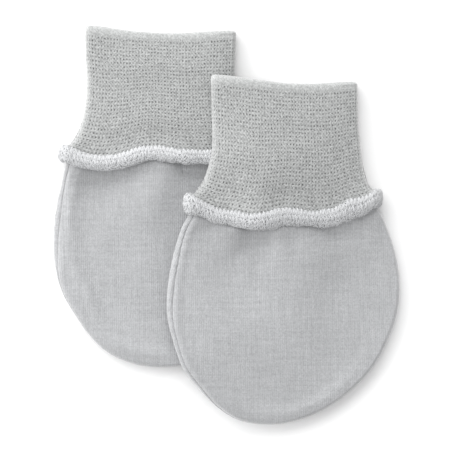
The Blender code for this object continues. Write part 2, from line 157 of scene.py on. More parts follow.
over = SimpleNamespace(
    name="over",
    at=(19.5, 4.4),
    hand=table(
        "down left right",
        (-6, 28.8, 28), (-4.2, 30, 29.8), (-1.8, 31.1, 32.2), (1, 32.9, 34.1), (4, 34.6, 35.3),
        (9, 36.4, 37.2), (16, 38.2, 39), (25, 39.7, 40), (34, 40, 39.1), (44, 37.8, 35.6),
        (53, 34.4, 30.6), (60, 28.9, 24.2), (66, 23.2, 16.4), (70.5, 16.4, 6.9),
    ),
    tip=(-3.4, 72.5),
    cuff=table(
        "along left right",
        (0, 25, 25.5), (0.2, 24.7, 25.6), (0.4, 24.5, 26), (0.55, 24.6, 26.6), (0.7, 25.9, 27.3),
        (0.8, 27.4, 28.3), (0.9, 30, 29.6), (1, 32.8, 33),
    ),
    top=table("x up", (-25, 47.7), (-14, 46.4), (-7, 45.6), (0, 44.8), (8, 44.6), (25, 45.5)),
    hem=table(
        "x drop",
        (-32.1, -4), (-28.8, -2.7), (-23.7, -0.2), (-16.8, 1.1), (-9.9, 2.2), (-4.8, 1.6),
        (0.3, 0.5), (5.5, 0.7), (12.3, 1.2), (17.5, 0.4), (22.6, -2), (27.8, -3.5), (31.6, -6),
    ),
    seam=table(
        "along angle",
        (0, 0), (0.06, 64), (0.13, 73), (0.22, 69), (0.32, 56), (0.42, 24), (0.5, 0), (0.65, -20),
        (0.9, -30), (1, 0),
    ),
    gathers=table(
        "x width depth length slant",
        (-12, 6, 1.2, 9, -0.2), (12, 6.5, 1.3, 6, 0.1), (29, 3, 0.8, 5, 0.2),
    ),
    creases=table(
        "x y angle length width height",
        (-15, -18, 8, 13, 11, -1.5),
        (-10, -12.5, 14, 7.5, 4.2, -1.1),
        (-16.5, -5.2, 8, 4.4, 4, 1.6),
        (-17.5, -10.5, 5, 5.5, 5, 1),
        (-24.3, -4.4, 20, 3.5, 2.4, -1),
        (-1.4, -7, 100, 8, 3.2, 1.4),
        (10, -12.5, -5, 10, 9, 1.7),
        (6.5, -3.6, -3, 8, 1.8, -0.4),
        (18.5, -7, -25, 6, 2.8, -1.1),
        (28, -0.4, 22, 5, 2.2, -0.7),
        (29.5, -7.5, 30, 8, 6, 0.5),
        (-13, -30, 85, 18, 12, -1.3),
        (2, -34, 92, 22, 18, -0.7),
        (4, -22, 100, 16, 6, 0.18),
        (-6, -36, 112, 18, 5, -0.14),
        (18, -32, 86, 20, 5.5, -0.16),
        (-20, -44, 60, 12, 4, 0.12),
        (10, -50, 20, 14, 4, -0.12),
    ),
    ridge=table(
        "angle height inset",
        (105, 0, 6.6), (130, 0, 6.6), (180, 0, 6.6), (205, 0, 6.4), (222, 0.05, 6.2), (233, 0.3, 5),
        (254, 0.45, 3.8), (283, 0.45, 3.6), (307, 0.4, 3.8), (330, 0.2, 4.6), (350, 0.1, 5),
        (378, 0.16, 4.6), (400, 0.1, 4.6), (430, 0, 4.6),
    ),
    rollEnds=(0.3, 0.1),
    rollHalfWidth=2.45,
    rollWider=table("x reach more", (-2, 6, 0.7), (22, 8, 0.9)),
    # painted shade: this mitten's thread is darker, standing for the shade between its stitches
    threadPaintedShade=0.91,
    seamRoll=(0.26, 0.32),
    wideRim=0.25,
    pressed=(-6.0, 10.0, 1.5),
    hemLift=(-9.6, 5.7, 1.7),
    seed=5,
)

drapeSizes = SimpleNamespace(
    lift=2 * cuffMiddle + cloth.gap,  # of the over mitten, on the under one
    hemLift=1.8,  # more, over the under mitten's roll
    hemSpread=9.0,
    edgeInside=2.0,  # it starts to fall this far inside the under mitten's edge
    fall=26.0,  # and reaches the floor over this distance
    bridgedBelow=-12.0,  # above here it bridges the hollow beside the under mitten's neck
    looser=(8.0, 20.0),  # its upper side falls this much sooner, and over this much more
    points=60,
)


# curves and lines of a mitten


def smooth(share):  # an even S from 0 to 1
    share = np.clip(share, 0, 1)
    return share * share * (3 - 2 * share)


def ramp(value, start, over):  # the S from start on, over this distance
    return smooth((value - start) / over)


def bell(distance):
    return np.exp(-(distance**2))


def through(at, values, x):  # a smooth curve through the rows, with its end values held
    at, values = np.asarray(at, float), np.asarray(values, float)
    slopes = np.gradient(values, at)
    row = np.clip(np.searchsorted(at, x) - 1, 0, len(at) - 2)
    step = at[row + 1] - at[row]
    t = np.clip((x - at[row]) / step, 0, 1)
    start, end = values[row], values[row + 1]
    bend = t * (1 - t) ** 2 * slopes[row] - t * t * (1 - t) * slopes[row + 1]
    return start + (end - start) * smooth(t) + step * bend


def evenly(points, count):  # even distances along a line, both ends included
    steps = np.linalg.norm(np.diff(points, axis=0), axis=1)
    along = np.concatenate([[0], np.cumsum(steps)])
    at = np.linspace(0, along[-1], count)
    return np.stack([np.interp(at, along, column) for column in points.T], axis=1)


def distanceOutside(x, y, outline):  # of each point, from a closed outline
    way = np.roll(outline, -1, axis=0) - outline
    off = np.stack([x, y], axis=-1)[..., None, :] - outline
    share = np.clip((off * way).sum(-1) / (way * way).sum(-1), 0, 1)
    nearest = np.linalg.norm(off - share[..., None] * way, axis=-1).min(-1)
    crosses = (off[..., 1] >= 0) != (off[..., 1] >= way[:, 1])
    reach = off[..., 1] / np.where(way[:, 1] == 0, 1, way[:, 1]) * way[:, 0]
    inside = (crosses & (off[..., 0] < reach)).sum(-1) % 2 == 1
    return np.where(inside, -nearest, nearest)


def cuffHalfWidths(mitten, along):  # left and right, to the middle of the outer layer
    sides = mitten.cuff
    return [through(sides["along"], sides[side], along) - halfWall for side in ("left", "right")]


def handOutline(mitten):  # from the neck's left corner round the fingers to its right corner
    hand = mitten.hand
    widths = cuffHalfWidths(mitten, cloth.narrowAlong)
    left, right = [half - 2 * foldRadius + halfWall for half in widths]
    leftSide = np.stack([-hand["left"], -hand["down"]], axis=1)
    rightSide = np.stack([hand["right"], -hand["down"]], axis=1)[::-1]
    tip = (mitten.tip[0], -mitten.tip[1])
    rows = np.vstack([(-left, cloth.neckUp), leftSide, tip, rightSide, (right, cloth.neckUp)])
    chords = np.concatenate([[0], np.cumsum(np.linalg.norm(np.diff(rows, axis=0), axis=1))])
    fine = np.linspace(0, chords[-1], cloth.outlineSteps * len(rows))
    return np.stack([through(chords, column, fine) for column in rows.T], axis=1)


def hemUp(mitten, x, front):  # of the hem line; the back hangs in one plain curve
    at, drop = mitten.hem.values()
    share = np.clip((x - at[0]) / (at[-1] - at[0]), 0, 1)
    plain = drop[0] + (drop[-1] - drop[0]) * share + cloth.hemSag * share * (1 - share)
    return -np.where(front, through(at, drop, x), plain)


def rollFront(mitten, x):  # half the roll's thickness on the front
    start, over, half = mitten.pressed
    return rollSizes.front + (half - rollSizes.front) * ramp(x, start, over)


def hemLift(mitten, x):
    middle, width, height = mitten.hemLift
    return height * bell((x - middle) / width)


def gathered(mitten, x, down):  # depth of the soft troughs below the neck
    start, over, fadeFrom = cloth.gathers
    depth = np.zeros_like(x)
    for at, width, most, length, slant in zip(*mitten.gathers.values()):
        across = (x - at - slant * down) / width
        below = np.clip(down - fadeFrom, 0, None) / length
        depth += most * np.exp(-(across**2) - below**2) * ramp(down, start, over)
    return depth


def handLevel(mitten, x, y, side):  # middle of the front panel (side 1) or the back one (side -1)
    back = through(handLevels["down"], handLevels["back"], hemUp(mitten, x, False) - y)
    if side < 0:
        return back
    down = hemUp(mitten, x, True) - y
    front = through(handLevels["down"], handLevels["front"], down) - gathered(mitten, x, down)
    return np.maximum(front, back + cloth.wall + cloth.gap)


def drapeOutline():  # the under mitten without the hollow between its hand and its cuff
    hand = evenly(handOutline(under), drapeSizes.points)
    sides, top = under.cuff, under.top["up"]
    corners = [(sides["right"][0], top[-1]), (-sides["left"][0], top[0])]
    return np.vstack([hand[hand[:, 1] < drapeSizes.bridgedBelow], corners]) + under.at


bridged = drapeOutline()
for mitten in (under, over):
    mitten.outline = evenly(handOutline(mitten), cloth.outlinePoints)


def drape(x, y, looser=(0.0, 0.0)):  # height of what the over mitten lies on
    into = distanceOutside(x, y, bridged) + drapeSizes.edgeInside + looser[0]
    down = smooth(into / (drapeSizes.fall + sum(looser)))
    overHem = drapeSizes.hemLift * bell((y - under.at[1]) / drapeSizes.hemSpread)
    return (drapeSizes.lift + overHem) * (1 - down)


def inPlace(mitten, points):  # from the mitten's frame to the pair's, in metres
    points = points.copy()
    points[..., :2] += mitten.at
    if mitten is over:
        for row in points:
            tight = drape(*row.T[:2])
            loose = drape(*row.T[:2], drapeSizes.looser)
            row[:, 2] += tight + (loose - tight) * smooth(row[:, 2] / handTopAtHem)
    return points / 1000


# meshes laid over rings of points


def ringNormals(rings):  # of rings that run round a closed shape
    around = np.roll(rings, -1, axis=1) - np.roll(rings, 1, axis=1)
    along = np.gradient(rings, axis=0)
    normal = np.cross(around, along)
    return normal / np.maximum(np.linalg.norm(normal, axis=2), 1e-9)[..., None]


def layGrid(name, rings, uvs, joinEnds=False):
    # A grid laid over the rings, and closed where its edges meet. uvs has one more column, so that a
    # pattern runs on over the join. With joinEnds the last ring meets the first.
    rings = np.concatenate([rings, rings[:, :1]], axis=1)
    if joinEnds:
        rings = np.concatenate([rings, rings[:1]])
        uvs = np.concatenate([uvs, uvs[-1:]])
    rows, columns = rings.shape[:2]
    bpy.ops.object.select_all(action="DESELECT")
    bpy.ops.mesh.primitive_grid_add(x_subdivisions=columns - 1, y_subdivisions=rows - 1, size=1)
    piece = bpy.context.object
    piece.name = piece.data.name = name
    mesh = piece.data
    mesh.vertices.foreach_set("co", rings.reshape(-1))
    corner = np.zeros(len(mesh.loops), np.int32)
    mesh.loops.foreach_get("vertex_index", corner)
    mesh.uv_layers.active.data.foreach_set("uv", uvs.reshape(-1, 2)[corner].reshape(-1))
    bpy.ops.object.mode_set(mode="EDIT")
    bpy.ops.mesh.select_all(action="SELECT")
    bpy.ops.mesh.remove_doubles(threshold=1e-7)
    bpy.ops.mesh.normals_make_consistent(inside=False)
    bpy.ops.object.mode_set(mode="OBJECT")
    bpy.ops.object.shade_smooth()
    return piece


def finishPiece(piece, material, slot, *nodes):
    piece.data.materials.append(material)
    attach(piece, "root")
    if nodes:
        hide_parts(*nodes)
    return piece


# node groups


def newGroup(name, vector, numbers, results):  # it takes one vector and some numbers
    group = bpy.data.node_groups.new(name, "ShaderNodeTree")
    for way, labels in (("INPUT", f"{vector} {numbers}"), ("OUTPUT", results)):
        for label in labels.split():
            kind = "NodeSocketVector" if label == vector else "NodeSocketFloat"
            group.interface.new_socket(name=label, in_out=way, socket_type=kind)
    given = group.nodes.new("NodeGroupInput").outputs
    out = group.nodes.new("NodeGroupOutput").inputs
    return group, given, out, partial(maths, group), partial(maths, group, "MULTIPLY_ADD")


def fill(tree, socket, value):  # links an output to the socket, or sets its value
    if isinstance(value, bpy.types.NodeSocket):
        tree.links.new(value, socket)
    else:
        socket.default_value = value


def addStep(tree, kind, inputs, out=0, **settings):  # a node, and the output that is asked for
    step = tree.nodes.new("ShaderNode" + kind)
    for name, value in settings.items():
        setattr(step, name, value)
    for socket, value in inputs.items():
        fill(tree, step.inputs[socket], value)
    return step.outputs if out is None else step.outputs[out]


def maths(tree, operation, *values):
    return addStep(tree, "Math", dict(enumerate(values)), operation=operation)


def mapRange(tree, value, low, high, toLow=0.0, toHigh=1.0):
    inputs = {"Value": value, "From Min": low, "From Max": high, "To Min": toLow, "To Max": toHigh}
    return addStep(tree, "MapRange", inputs, interpolation_type="SMOOTHSTEP")


def noise(tree, vector, scale, detail=2.0):
    return addStep(tree, "TexNoise", {"Vector": vector, "Scale": scale, "Detail": detail}, "Fac")


def whiteNoise(tree, vector, sizes=None):  # one even chance for each whole number of the vector
    if sizes:
        vector = addStep(tree, "VectorMath", {0: vector, 1: sizes}, operation="MULTIPLY")
    cell = addStep(tree, "VectorMath", {0: vector}, operation="FLOOR")
    return addStep(tree, "TexWhiteNoise", {"Vector": cell}, "Value")


def centred(tree, chance):  # from -0.5 to 0.5
    return maths(tree, "SUBTRACT", chance, 0.5)


def spot(tree, across, along, width, height):  # 1 where both are 0, and fades within the sizes
    squares = [
        maths(tree, "POWER", maths(tree, "DIVIDE", distance, size), 2.0)
        for distance, size in ((across, width), (along, height))
    ]
    return maths(tree, "EXPONENT", maths(tree, "MULTIPLY", maths(tree, "ADD", *squares), -1.0))


ribKnit = SimpleNamespace(  # sizes in stitches
    wander=(0.9, 1.3),  # scales of the noise that moves stitches across and along
    waleShift=0.12,  # how far wales are out of step
    hole=(0.19, 0.21),  # half width and height of the hole in a stitch
    knuckle=(0.22, 0.22),  # and of the raised loops
    holeSizes=(0.7, 0.65),  # of a hole's depth: what chance adds, and the least
    specks=(3.0, 3.6, 1.0),  # in a stitch
    legSlant=-0.7,
    groove=(0.2, 0.5),
    # painted light and shade along the slanted legs
    paintedLegShade=0.02,
    heights=(0.2, -0.15, 0.15),  # of legs, grooves and knuckles
)


def makeRibGroup():  # 1x1 rib, from a vector that counts wales in x and courses in y
    numbers = "Unevenness Holes Knuckles Grain Open"
    group, given, out, work, addTo = newGroup("ribStitches", "Stitches", numbers, "Shade Height")
    stitches, opened = given["Stitches"], given["Open"]
    parts = addStep(group, "SeparateXYZ", {0: stitches}, None)
    x, y = [
        addTo(centred(group, noise(group, stitches, scale)), given["Unevenness"], parts[name])
        for name, scale in zip("XY", ribKnit.wander)
    ]
    waleChance = whiteNoise(group, addStep(group, "CombineXYZ", {"X": parts["X"]}))
    y = addTo(waleChance, ribKnit.waleShift, y)
    fromWale = work("PINGPONG", x, 0.5)  # 0 on a wale and 0.5 in the groove beside it
    fromKnot = work("PINGPONG", y, 0.5)  # 0 at a knot and 0.5 at the hole beside it
    toGroove = work("SUBTRACT", 0.5, fromWale)
    toHole = work("SUBTRACT", 0.5, fromKnot)
    hole = work("MULTIPLY", spot(group, toGroove, toHole, *ribKnit.hole), opened)
    uneven = addTo(whiteNoise(group, stitches), *ribKnit.holeSizes)
    hole = work("MULTIPLY", hole, uneven)
    places = ((fromWale, toHole), (toGroove, fromKnot))
    knuckles = [spot(group, *place, *ribKnit.knuckle) for place in places]
    knuckle = work("MULTIPLY", work("ADD", *knuckles), opened)
    grain = centred(group, whiteNoise(group, stitches, ribKnit.specks))
    along = addTo(fromWale, ribKnit.legSlant, y)
    leg = work("COSINE", work("MULTIPLY", along, 2 * math.pi))
    # painted shade: the holes are darkened, the raised knuckles painted lighter and the legs painted light
    # and dark, over the same relief that the bump shows
    shade = work("SUBTRACT", 1.0, work("MULTIPLY", hole, given["Holes"]))
    shade = addTo(knuckle, given["Knuckles"], shade)
    shade = addTo(leg, ribKnit.paintedLegShade, shade)
    fill(group, out["Shade"], addTo(grain, given["Grain"], shade))
    legHigh, grooveHigh, knuckleHigh = ribKnit.heights
    height = work("MULTIPLY", mapRange(group, fromWale, *ribKnit.groove), grooveHigh)
    height = addTo(leg, legHigh, height)
    height = addTo(knuckle, knuckleHigh, height)
    fill(group, out["Height"], work("SUBTRACT", height, hole))
    return group


jerseyKnit = SimpleNamespace(
    wander=(0.12, 0.9),  # scale of the noise that moves the wales, and how far
    wale=(0.1, 0.45),  # half of it, from its crest to its groove
    legSlant=-0.5,
    legShare=0.6,
    streaks=((1.0, 0.07, 1.1), (0.09, 1.0, 0.9)),  # uneven yarn, along and across the wales
    specks=(3.0, 2.2, 1.0),  # in a millimetre
)


def makeJerseyGroup():  # fine plain knit, from a vector in millimetres of cloth
    numbers = "Wale Course Contrast Streaks Grain"
    group, given, out, work, addTo = newGroup("jerseyStitches", "Cloth", numbers, "Shade Height")
    place = given["Cloth"]
    parts = addStep(group, "SeparateXYZ", {0: place}, None)
    fineness, most = jerseyKnit.wander
    wander = work("MULTIPLY", centred(group, noise(group, place, fineness)), most)
    across, course = [
        work("DIVIDE", work("ADD", parts[name], wander), given[size])
        for name, size in (("X", "Wale"), ("Y", "Course"))
    ]
    offCentre = work("PINGPONG", across, 0.5)
    wale = mapRange(group, offCentre, *jerseyKnit.wale, 1.0, -1.0)
    along = addTo(offCentre, jerseyKnit.legSlant, course)
    leg = work("COSINE", work("MULTIPLY", along, 2 * math.pi))
    streaks = []
    for alongX, alongY, scale in jerseyKnit.streaks:
        x, y = work("MULTIPLY", parts["X"], alongX), work("MULTIPLY", parts["Y"], alongY)
        stretched = addStep(group, "CombineXYZ", {"X": x, "Y": y})
        streaks.append(centred(group, noise(group, stretched, scale, 3.0)))
    knit = addTo(leg, jerseyKnit.legShare, wale)
    # painted shade: the stitches' relief is painted into the colour, darker in the grooves between wales and
    # lighter on their crests
    shade = addTo(knit, given["Contrast"], 1.0)
    shade = addTo(work("ADD", *streaks), given["Streaks"], shade)
    grain = centred(group, whiteNoise(group, place, jerseyKnit.specks))
    fill(group, out["Shade"], addTo(grain, given["Grain"], shade))
    fill(group, out["Height"], knit)
    return group


def makeFuzzGroup():  # loose fibres of cotton, from a vector in millimetres
    group, given, out, work, addTo = newGroup("cottonFuzz", "Place", "Size", "Mask")
    scale = work("DIVIDE", 1.0, given["Size"])
    coarse = noise(group, given["Place"], scale, 4.0)
    fine = noise(group, given["Place"], work("MULTIPLY", scale, 3.1), 3.0)
    fill(group, out["Mask"], addTo(fine, 0.4, work("MULTIPLY", coarse, 0.6)))
    return group


ribStitches = makeRibGroup()
jerseyStitches = makeJerseyGroup()
cottonFuzz = makeFuzzGroup()


# materials


def startMaterial(name, roughness, sheen):
    material = bpy.data.materials.new(name)
    material.use_nodes = True
    shader = material.node_tree.nodes["Principled BSDF"]
    shader.inputs["Roughness"].default_value = roughness
    shader.inputs["Specular IOR Level"].default_value = 0.2
    shader.inputs["Sheen Weight"].default_value = sheen
    shader.inputs["Sheen Roughness"].default_value = 0.5
    return material, material.node_tree, shader


def addGroup(tree, group, **values):
    return addStep(tree, "Group", values, None, node_tree=group)


def tinted(tree, colour, shade):  # the colour times a shade
    return addStep(tree, "VectorMath", {0: colour, "Scale": shade}, operation="SCALE")


def bump(tree, height, distance, normal=None):  # distance in millimetres
    inputs = {"Strength": 1, "Distance": distance / 1000, "Height": height}
    return addStep(tree, "Bump", {**inputs, "Normal": normal} if normal else inputs)


def inMillimetres(tree):
    place = addStep(tree, "TexCoord", {}, "Object")
    return addStep(tree, "VectorMath", {0: place, "Scale": 1000}, operation="SCALE")


def addFuzz(tree, look):  # its mask, and the shade that it gives
    mask = addGroup(tree, cottonFuzz, Place=inMillimetres(tree), Size=look.fuzz)["Mask"]
    return mask, mapRange(tree, mask, *look.fuzzShades)


def finishCloth(tree, shader, look, knit, fuzz, shade):
    fill(tree, shader.inputs["Base Color"], tinted(tree, look.colour, shade))
    normal = bump(tree, fuzz, look.fuzzDepth)
    fill(tree, shader.inputs["Normal"], bump(tree, knit["Height"], look.stitchDepth, normal))


ribLook = SimpleNamespace(
    colour=(0.326, 0.332, 0.33),
    # the hole weight is painted shade in the holes, the knuckle weight painted highlight on the raised loops
    knit={"Unevenness": 0.3, "Holes": 0.61, "Knuckles": 0.23, "Grain": 0.56},
    stitchDepth=0.07,
    fuzz=0.45,
    fuzzDepth=0.04,
    fuzzShades=(0.25, 0.75, 0.84, 1.16),  # from and to in the mask, and in the shade
    foldBand=(2.1, 3.2),  # courses from the fold where the knit opens
    # painted highlight: the knit over the fold, which faces the top light, is painted lighter
    foldPaintedLight=0.3,
)
jerseyLook = SimpleNamespace(
    colour=(0.38, 0.385, 0.394),
    # the contrast weight paints the knit's shade into the colour
    knit={"Wale": 0.71, "Course": 0.56, "Contrast": 0.045, "Streaks": 0.3, "Grain": 0.19},
    stitchDepth=0.02,
    fuzz=0.5,
    fuzzDepth=0.02,
    fuzzShades=(0.25, 0.75, 0.9, 1.1),
)
threadLook = SimpleNamespace(
    # the second colour is the white thread darkened: painted shade for the roll's lower side, its core and
    # the gaps
    colours={"WhiteThread": (0.59, 0.597, 0.608), "ShadedWhiteThread": (0.55, 0.557, 0.568)},
    fuzz=0.35,
    fuzzDepth=0.12,
    fuzzShades=(0.3, 0.7, 0.84, 1.12),
)


def makeRibMaterial():
    material, tree, shader = startMaterial("lightGreyRib", 0.95, 0.8)
    uv = addStep(tree, "UVMap", {})
    courses = addStep(tree, "SeparateXYZ", {0: uv}, "Y")
    opened = mapRange(tree, courses, *ribLook.foldBand)
    knit = addGroup(tree, ribStitches, Stitches=uv, Open=opened, **ribLook.knit)
    fuzz, fuzzShade = addFuzz(tree, ribLook)
    shade = maths(tree, "MULTIPLY", knit["Shade"], fuzzShade)
    # painted highlight on the band over the fold
    closed = maths(tree, "SUBTRACT", 1.0, opened)
    shade = maths(tree, "MULTIPLY_ADD", closed, ribLook.foldPaintedLight, shade)
    finishCloth(tree, shader, ribLook, knit, fuzz, shade)
    return material


def makeJerseyMaterial():
    material, tree, shader = startMaterial("lightGreyJersey", 0.9, 0.8)
    uv = addStep(tree, "UVMap", {})
    knit = addGroup(tree, jerseyStitches, Cloth=uv, **jerseyLook.knit)
    fuzz, fuzzShade = addFuzz(tree, jerseyLook)
    finishCloth(tree, shader, jerseyLook, knit, fuzz, maths(tree, "MULTIPLY", knit["Shade"], fuzzShade))
    return material


def makeThreadMaterial(name, colour):
    material, tree, shader = startMaterial(name, 0.9, 0.6)
    fuzz, shade = addFuzz(tree, threadLook)
    fill(tree, shader.inputs["Base Color"], tinted(tree, colour, shade))
    fill(tree, shader.inputs["Normal"], bump(tree, fuzz, threadLook.fuzzDepth))
    return material


ribMaterial = makeRibMaterial()
jerseyMaterial = makeJerseyMaterial()
for mitten in (under, over):
    mitten.threads = [  # white, then its darker copy, which paints shade
        makeThreadMaterial(mitten.name + name, [part * mitten.threadPaintedShade for part in colour])
        for name, colour in threadLook.colours.items()
    ]
print("materials made")


# hand panels

panel = SimpleNamespace(
    seamPoints=236,
    neckPoints=49,
    # rings of its faces: shares of the arc at the seam, distances past it, shares of the way inwards
    outside=(np.linspace(0, 1, 8), (0.5, 1.0, 1.6, 2.3, 3.2, 4.5, 6.0), np.linspace(0, 1, 28)[1:]),
    inside=((0.0, 0.5, 1.0), (2.5, 6.0), np.linspace(0, 1, 12)[1:]),
    neckArc=4.0,  # along the neck, which has no arc, its rings spread over this
    neckSpread=1.3,  # and the distances past it are longer
    neckBlend=12,  # over this many points from a corner, where the sewn edge's distances turn to these
    cornerBlend=8,  # and over these its directions turn
    mostSlanted=0.5,
    steepest=78,  # degrees, where a face starts at the seam
    spine=(-50.0, -18.0),  # the rings close in on this part of the centre line
    puff=0.4,
    creasesFrom=(1.5, 2.5),  # below the hem, where raised cloth starts
    reliefFrom=(1, 5),  # and inside the seam, where all relief does
    ridgeWidth=1.8,
    rippleHeight=0.1,
    opening=0.08,  # between the two panels at their seam
    groove=0.1,  # the cloth sinks into the seam, with a soft roll beside it
    grooveWidth=0.4,
    rollIn=1.5,
    rollWidth=1.05,
    nearHem=(0.12, 0.08),  # reach of the stronger roll and of the wider groove there
    puckers=46,  # along the seam
    pucker=0.3,
    rightRim=(0.36, 0.16, 1, 0.06),  # start on the seam, over what, its end, over what
    leftRim=(0.09, 0.06, 0.27, 0.07),
    squeeze=0.62,  # the right and lower rims are narrower than a half circle by this
    plainer=0.65,  # and stand out this much less beside the seam
)


def rim(stretch, along):  # 1 on that stretch of the seam
    start, over, end, back = stretch
    return ramp(along, start, over) * smooth((end - along) / back)


def seamShape(mitten, along, distance):  # what the cloth stands out beside the seam
    pucker = 1 + panel.pucker * np.sin(2 * math.pi * panel.puckers * along + 4 * np.sin(31 * along))
    low, high = mitten.seamRoll
    stronger, wide = [bell(along / reach) for reach in panel.nearHem]
    roll = (low + (high - low) * stronger) * (1 - panel.plainer * rim(panel.rightRim, along))
    rolled = roll * bell((distance - panel.rollIn) / panel.rollWidth) * pucker
    wider = 1 + wide
    return rolled - panel.groove * wider * bell(distance / panel.grooveWidth / wider)


def panelRelief(mitten, x, y):  # raises the front panel's cloth, in millimetres
    inset = -distanceOutside(x, y, mitten.outline)
    clear = ramp(hemUp(mitten, x, True) - y, *panel.creasesFrom)
    height = np.zeros_like(x)
    for atX, atY, angle, length, width, high in zip(*mitten.creases.values()):
        cosine, sine = math.cos(math.radians(angle)), math.sin(math.radians(angle))
        dx, dy = x - atX, y - atY
        crease = high * bell((dx * cosine + dy * sine) / length) * bell((dy * cosine - dx * sine) / width)
        height += crease * np.where(crease > 0, clear, 1)
    height += panel.rippleHeight * np.sin(x / 6.1 + 1.3 * np.sin(y / 9.7)) * np.sin(y / 8.3 + x / 15.0)
    height *= ramp(inset, *panel.reliefFrom)
    angles, heights, insets = mitten.ridge.values()
    start = 100  # directions are counted from here, in degrees
    angle = (np.degrees(np.arctan2(y - sum(panel.spine) / 2, x)) - start) % 360 + start
    crest = through(angles, insets, angle)
    return height + through(angles, heights, angle) * bell((inset - crest) / panel.ridgeWidth)


def panelFace(mitten, side, off, arc, flat, inward):
    # A face of a panel as rings from its seam to its centre, and their flat places in the cloth.
    # off is its distance from the middle of the cloth.
    seam = evenly(handOutline(mitten), panel.seamPoints)
    neck = np.linspace(seam[-1], seam[0], panel.neckPoints + 2)[1:-1]
    edge = np.vstack([seam, neck])
    number = np.arange(len(edge))
    sewn = number < len(seam)
    way = np.roll(edge, -1, axis=0) - np.roll(edge, 1, axis=0)
    inwards = np.stack([-way[:, 1], way[:, 0]], axis=1) / np.linalg.norm(way, axis=1)[:, None]
    inwards[~sewn] = (0, -1)
    spine = np.column_stack([np.zeros(len(edge)), np.clip(edge[:, 1], *panel.spine)])
    towards = (spine - edge) / np.linalg.norm(spine - edge, axis=1)[:, None]
    towards /= np.maximum((towards * inwards).sum(axis=1), panel.mostSlanted)[:, None]
    corner = np.minimum(number, np.abs(number - (len(seam) - 1)))
    slanted = (1 - smooth(corner / panel.cornerBlend)) * sewn
    inwards = inwards * (1 - slanted[:, None]) + towards * slanted[:, None]
    inwards[~sewn] = towards[~sewn]
    front, back = [handLevel(mitten, *edge.T, s) for s in (1, -1)]
    middle, half = (front + back) / 2, np.maximum((front - back) / 2, halfWall + cloth.gap)
    along = np.where(sewn, number / (len(seam) - 1), 0)
    seamAngle = side * np.radians(through(mitten.seam["along"], mitten.seam["angle"], along))
    starts = seamAngle + np.arcsin(np.minimum(panel.opening / 2 / (half + off), 1))
    starts = np.minimum(starts, math.radians(panel.steepest))
    number = np.arange(len(neck))
    nearer = np.where(number < len(neck) / 2, len(seam) - 1, 0)
    length = np.linalg.norm(towards, axis=1)
    likeCorner = 1 - smooth(np.minimum(number, number[::-1]) / panel.neckBlend)
    ratio = length[nearer] / length[~sewn]
    arcReach, spread = half + halfWall, np.ones(len(edge))
    arcReach[~sewn] = panel.neckArc + (arcReach[nearer] * ratio - panel.neckArc) * likeCorner
    spread[~sewn] = panel.neckSpread + (ratio - panel.neckSpread) * likeCorner
    spread = spread[:, None]
    rings, places = [], []

    def addRing(place, height, clothPlace, inArc=False):
        if side > 0:
            height = height + panelRelief(mitten, *place.T)
            lowest = handLevel(mitten, *place.T, -1) + cloth.wall + cloth.gap + off
            height = height if inArc else np.maximum(height, lowest)
        rings.append(np.column_stack([place, height]))
        places.append(clothPlace)

    stands = sewn * (off > 0)
    narrower = 1 - panel.squeeze * rim(panel.rightRim, along) + mitten.wideRim * rim(panel.leftRim, along)
    arcReach = arcReach * narrower
    turnedPlace = edge + inwards * arcReach[:, None]
    for share in arc:
        turned = starts + share * (math.pi / 2 - starts)
        fromSeam = (half + off) * (turned - starts)
        reach = half + off + seamShape(mitten, along, fromSeam) * stands * (1 if side > 0 else 1 - share)
        inset = np.where(sewn, (half + halfWall - reach * np.cos(turned)) * narrower, share * arcReach)
        place = edge + inwards * inset[:, None]
        height = middle + side * reach * np.sin(turned)
        level = handLevel(mitten, *place.T, side) + side * off
        unrolled = np.where(sewn, (half + off) * (math.pi / 2 - turned), (1 - share) * arcReach)
        addRing(place, np.where(sewn, height, level), turnedPlace - inwards * unrolled[:, None], inArc=True)
    turnedEnd = rings[-1]
    for distance in flat:
        place = turnedEnd[:, :2] + towards * distance * spread
        level = handLevel(mitten, *place.T, side) + side * off
        height = np.where(sewn, middle + side * (half + off), level)
        height += seamShape(mitten, along, fromSeam + distance) * stands * (side > 0)
        addRing(place, height + (level - height) * smooth(distance / flat[-1]), place)
    last = rings[-1][:, :2]
    centre = np.array([0, sum(panel.spine) / 2])
    for share in inward:
        place = last + share * (spine + (centre - spine) * smooth(share) - last)
        puff = panel.puff * smooth(share) * (side > 0)
        addRing(place, handLevel(mitten, *place.T, side) + side * off + puff, place)
    return rings, places


def addPanel(mitten, sideName, side):
    outer, outerPlaces = panelFace(mitten, side, halfWall, *panel.outside)
    inner, innerPlaces = panelFace(mitten, side, -halfWall, *panel.inside)
    places = np.array(outerPlaces[::-1] + innerPlaces)
    places = np.concatenate([places, places[:, :1]], axis=1)
    rings = inPlace(mitten, np.array(outer[::-1] + inner))
    name = f"{mitten.name}_{sideName}"
    return finishPiece(layGrid(f"{name}_jersey", rings, places), jerseyMaterial, "jersey", name)


# rib cuffs

cuff = SimpleNamespace(
    wales=105,
    columnsPerWale=4,
    course=1.32,
    outside=(131, 11, 16),  # rows of its outer layer, turn and inner layer
    inside=(16, 4, 16),
    waleHeight=0.015,
    pitDepth=0.05,
    pitDepths=(0.6, 1.25),  # least and most, by chance
    pitsFrom=(2.0, 2.0),  # the holes close where the turn stretches the cloth
    reliefFrom=(-6, 4),  # and the inner layer has no relief
    pastRoll=0.8,  # the cloth ends this far above the roll's middle
    pressedFrom=(0.86, 0.14),  # share of its length where it comes down to the roll
    liftedFrom=(0.55, 0.45),  # and where it rises to the lifted hem
    crown=1.7,  # its front is fuller in the middle
    crownPower=2.5,
    crownFade=0.3,  # share of its length at the fold and at the hem
    flatter=0.3,  # it is this much lower at its sides
    thinner=0.5,  # and this much more at the right
    thinnerFrom=9.0,  # beginning so far from it
    sideTurns=(0.6, 0.35),  # of its turns at the left and right: width for their height
)


